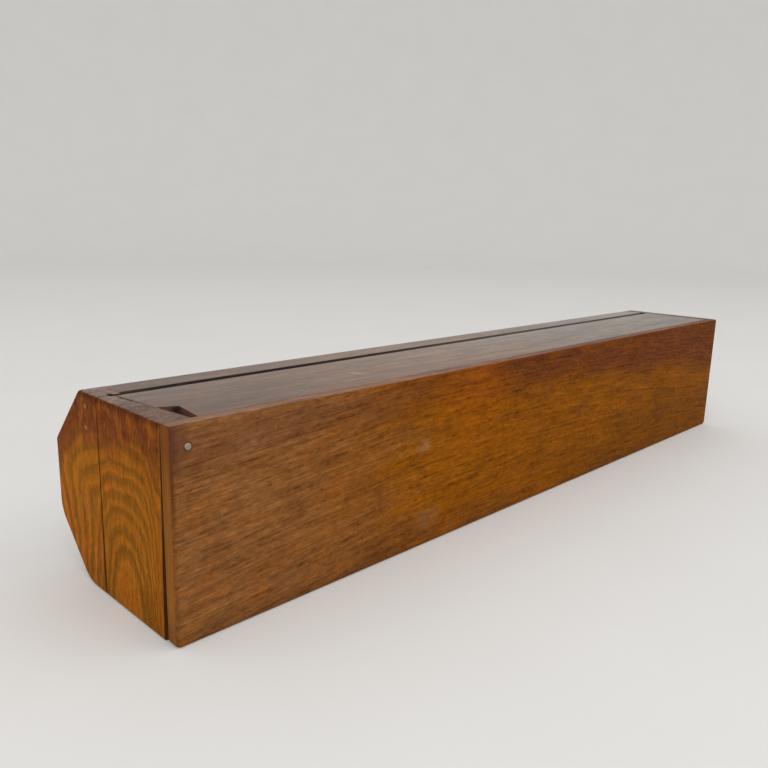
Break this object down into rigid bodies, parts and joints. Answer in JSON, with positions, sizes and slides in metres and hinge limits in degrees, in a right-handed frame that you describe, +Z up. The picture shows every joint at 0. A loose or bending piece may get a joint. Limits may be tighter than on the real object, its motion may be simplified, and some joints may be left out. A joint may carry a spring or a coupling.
{
  "type": "metronome",
  "caption": "Slim pendulum metronome in a long rosewood case whose front cover and half-octagon rear shell swivel aside on one corner pin.",
  "frame": {"origin": "under the middle of the closed case, on the surface that it lies on", "axes": "+X along the case from its base end to its head end, front cover facing -Y, +Z up"},
  "size_m": [0.3, 0.062, 0.0535],
  "materials": {
    "rosewood": "oiled rosewood, satin, dark brown streaks on orange brown, worn edges",
    "board_veneer": "oiled veneer, matt",
    "steel": "polished and dulled",
    "spring_steel": "blued",
    "magnet": "dark sintered ferrite",
    "brass": "brushed, lightly tarnished",
    "scale_plate": "satin silvered plate with printed black markings"
  },
  "bodies": {
    "case": {"base_block": "rosewood", "head_block": "rosewood", "left_side_wall": "rosewood", "right_side_wall": "rosewood", "dial_board": "board_veneer", "pivot_pin": "steel", "pivot_nut": "brass", "catch_magnets": "magnet", "tempo_scale": "scale_plate", "scale_pins": "brass", "front_plate": "brass", "back_plate": "brass", "pillars": "brass", "board_screws": "steel", "plate_screws": "steel", "click_leaf": "spring_steel", "click_screw": "steel"},
    "front_leaf": {"front_cover": "rosewood", "cover_keeper": "steel"},
    "rear_leaf": {"rear_base_end": "rosewood", "rear_head_end": "rosewood", "rear_left_stave": "rosewood", "rear_left_chamfer_stave": "rosewood", "rear_back_stave": "rosewood", "rear_right_chamfer_stave": "rosewood", "rear_right_stave": "rosewood", "rear_keeper": "steel"},
    "pendulum": {"pendulum_arbor": "steel", "anchor": "steel", "pendulum_hub": "brass", "pendulum_rod": "steel", "pendulum_screw": "steel", "pendulum_bob": "brass"},
    "weight": {"sliding_weight": "brass", "weight_spring": "spring_steel"},
    "barrel": {"mainspring_barrel": "brass", "barrel_cap": "brass", "great_wheel": "brass", "mainspring": "spring_steel"},
    "winder": {"winding_arbor": "steel", "ratchet_wheel": "steel", "winding_knob": "brass", "knob_screw": "steel"},
    "intermediate": {"intermediate_pinion": "steel", "intermediate_wheel": "brass"},
    "escapement": {"escape_pinion": "steel", "escape_wheel": "brass"}
  },
  "joints": [
    {"name": "cover_swivel", "type": "hinge", "parent": "case", "child": "front_leaf", "pos_m": [-0.1452, -0.01337, 0.04815], "axis": [0, -1, 0], "range_deg": [0, 90]},
    {"name": "rear_swivel", "type": "hinge", "parent": "case", "child": "rear_leaf", "pos_m": [-0.1452, -0.01337, 0.04815], "axis": [0, -1, 0], "range_deg": [0, 90]},
    {"name": "pendulum_swing", "type": "hinge", "parent": "case", "child": "pendulum", "pos_m": [-0.04988, -0.01337, 0.02675], "axis": [0, -1, 0], "range_deg": [-7, 7]},
    {"name": "weight_slide", "type": "slide", "parent": "pendulum", "child": "weight", "axis": [1, 0, 0], "range_m": [-0.04, 0.04]},
    {"name": "winding_turn", "type": "hinge", "parent": "case", "child": "winder", "pos_m": [-0.095, -0.01337, 0.02675], "axis": [0, -1, 0], "continuous": true, "deforming": ["click_leaf"]},
    {"name": "barrel_turn", "type": "hinge", "parent": "case", "child": "barrel", "pos_m": [-0.095, -0.01337, 0.02675], "axis": [0, -1, 0], "continuous": true},
    {"name": "intermediate_turn", "type": "hinge", "parent": "case", "child": "intermediate", "pos_m": [-0.077, -0.01337, 0.02675], "axis": [0, -1, 0], "continuous": true},
    {"name": "escape_turn", "type": "hinge", "parent": "case", "child": "escapement", "pos_m": [-0.062, -0.01337, 0.02675], "axis": [0, -1, 0], "continuous": true}
  ],
  "couplings": [
    {"joint": "intermediate_turn", "follows": "barrel_turn", "ratio": -5},
    {"joint": "escape_turn", "follows": "barrel_turn", "ratio": 20}
  ]
}
